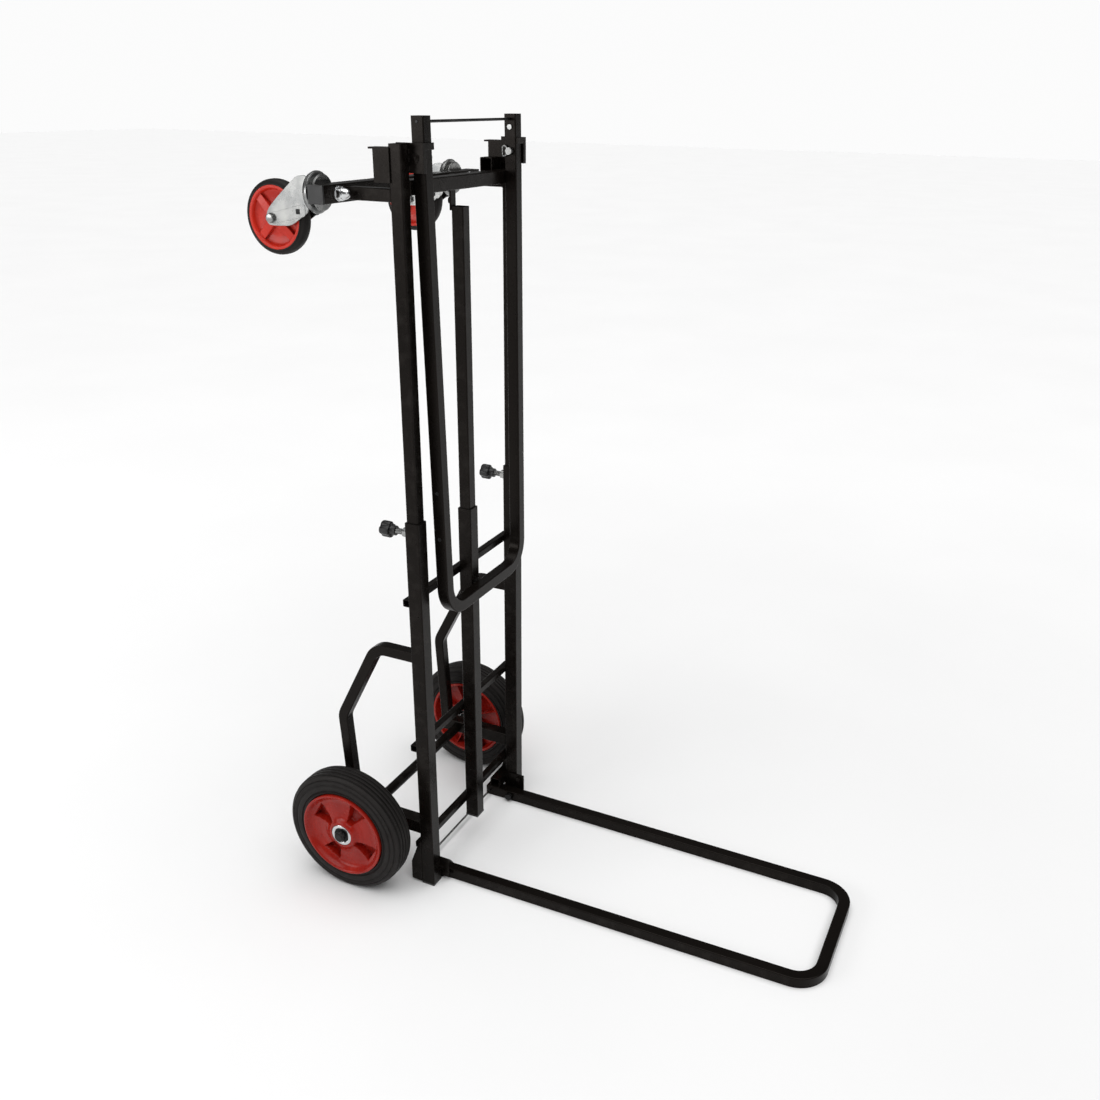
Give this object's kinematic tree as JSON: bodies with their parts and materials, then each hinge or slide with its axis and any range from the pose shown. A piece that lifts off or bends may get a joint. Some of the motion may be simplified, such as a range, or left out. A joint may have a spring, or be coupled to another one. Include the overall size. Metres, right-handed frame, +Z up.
{
  "type": "convertible hand truck",
  "caption": "Folding hand truck and cart with telescoping square-tube rails, fold-out toe loop and handle loop, rear wheels and swivel casters.",
  "frame": {"origin": "floor point under the middle of the bounding box", "axes": "+Z up along the rails; -Y towards the toe loop; +X to the right of a person behind the truck who faces the load"},
  "size_m": [0.5248, 0.9704, 1.2981],
  "materials": {
    "frame_paint": "satin black powder coat",
    "black_plastic": "moulded black plastic",
    "zinc_plate": "bright zinc plate",
    "blackened_steel": "black oxide",
    "bright_chrome": "polished",
    "red_plastic": "moulded red plastic",
    "tyre_rubber": "matte solid rubber"
  },
  "bodies": {
    "frame": {"outer_rail_left": "frame_paint", "outer_rail_right": "frame_paint", "outer_rail_centre": "frame_paint", "rail_guides": "black_plastic", "rail_caps": "black_plastic", "cross_bar_lower": "frame_paint", "cross_bar_middle": "frame_paint", "cross_bar_upper": "frame_paint", "side_hoop_left": "frame_paint", "side_hoop_right": "frame_paint", "side_bar_left": "frame_paint", "side_bar_right": "frame_paint", "axle": "zinc_plate", "axle_sleeve": "frame_paint", "axle_spacers": "zinc_plate", "axle_nuts": "blackened_steel", "clamp_bosses": "zinc_plate", "lower_bracket_left": "frame_paint", "lower_bracket_right": "frame_paint", "toe_pivot_bolts": "zinc_plate", "toe_pivot_washers": "zinc_plate"},
    "upper_frame": {"inner_rail_left": "frame_paint", "inner_rail_right": "frame_paint", "inner_rail_centre": "frame_paint", "slide_plugs": "black_plastic", "top_cross_bar": "frame_paint", "carrier_arm_left": "frame_paint", "carrier_arm_right": "frame_paint", "caster_carrier": "frame_paint", "carrier_caps": "black_plastic", "dome_nuts": "bright_chrome", "caster_head_left": "zinc_plate", "caster_head_right": "zinc_plate", "centre_strap": "frame_paint", "upper_bracket_left": "frame_paint", "upper_bracket_right": "frame_paint"},
    "handle": {"handle_loop": "frame_paint", "handle_tie_rod": "zinc_plate", "handle_buttons": "zinc_plate"},
    "toe": {"toe_loop": "frame_paint", "toe_tie_rod": "zinc_plate"},
    "pull_pin_left": {"pull_pin_left": "zinc_plate"},
    "clamp_knob_left": {"clamp_knob_left": "black_plastic"},
    "wheel_left": {"wheel_tyre_left": "tyre_rubber", "wheel_rim_left": "red_plastic", "wheel_bearings_left": "zinc_plate"},
    "caster_left": {"caster_fork_left": "zinc_plate", "caster_axle_left": "zinc_plate"},
    "caster_wheel_left": {"caster_tyre_left": "tyre_rubber", "caster_rim_left": "red_plastic"},
    "pull_pin_right": {"pull_pin_right": "zinc_plate"},
    "clamp_knob_right": {"clamp_knob_right": "black_plastic"},
    "wheel_right": {"wheel_tyre_right": "tyre_rubber", "wheel_rim_right": "red_plastic", "wheel_bearings_right": "zinc_plate"},
    "caster_right": {"caster_fork_right": "zinc_plate", "caster_axle_right": "zinc_plate"},
    "caster_wheel_right": {"caster_tyre_right": "tyre_rubber", "caster_rim_right": "red_plastic"}
  },
  "joints": [
    {"name": "frame_slide", "type": "slide", "parent": "frame", "child": "upper_frame", "axis": [0, 0, 1], "range_m": [-0.45, 0.03]},
    {"name": "handle_fold", "type": "hinge", "parent": "upper_frame", "child": "handle", "pos_m": [0, 0.21375, 1.244], "axis": [-1, 0, 0], "range_deg": [0, 89.2]},
    {"name": "toe_fold", "type": "hinge", "parent": "frame", "child": "toe", "pos_m": [0, 0.22305, 0.0102], "axis": [-1, 0, 0], "range_deg": [0, 84]},
    {"name": "wheel_spin_left", "type": "hinge", "parent": "frame", "child": "wheel_left", "pos_m": [-0.224, 0.36505, 0.118], "axis": [1, 0, 0], "continuous": true},
    {"name": "caster_swivel_left", "type": "hinge", "parent": "upper_frame", "child": "caster_left", "pos_m": [-0.1855, 0.34945, 1.196], "axis": [0, 1, 0], "continuous": true},
    {"name": "caster_spin_left", "type": "hinge", "parent": "caster_left", "child": "caster_wheel_left", "pos_m": [-0.1855, 0.43245, 1.159], "axis": [1, 0, 0], "continuous": true},
    {"name": "pull_pin_slide_left", "type": "slide", "parent": "upper_frame", "child": "pull_pin_left", "axis": [1, 0, 0], "range_m": [0, 0.045]},
    {"name": "clamp_turn_left", "type": "hinge", "parent": "frame", "child": "clamp_knob_left", "pos_m": [-0.1655, 0.24675, 0.69], "axis": [0, 1, 0], "range_deg": [0, 360]},
    {"name": "wheel_spin_right", "type": "hinge", "parent": "frame", "child": "wheel_right", "pos_m": [0.224, 0.36505, 0.118], "axis": [1, 0, 0], "continuous": true},
    {"name": "caster_swivel_right", "type": "hinge", "parent": "upper_frame", "child": "caster_right", "pos_m": [0.1855, 0.34945, 1.196], "axis": [0, 1, 0], "continuous": true},
    {"name": "caster_spin_right", "type": "hinge", "parent": "caster_right", "child": "caster_wheel_right", "pos_m": [0.1855, 0.43245, 1.159], "axis": [1, 0, 0], "continuous": true},
    {"name": "pull_pin_slide_right", "type": "slide", "parent": "upper_frame", "child": "pull_pin_right", "axis": [-1, 0, 0], "range_m": [0, 0.045]},
    {"name": "clamp_turn_right", "type": "hinge", "parent": "frame", "child": "clamp_knob_right", "pos_m": [0.1655, 0.24675, 0.69], "axis": [0, 1, 0], "range_deg": [0, 360]}
  ]
}
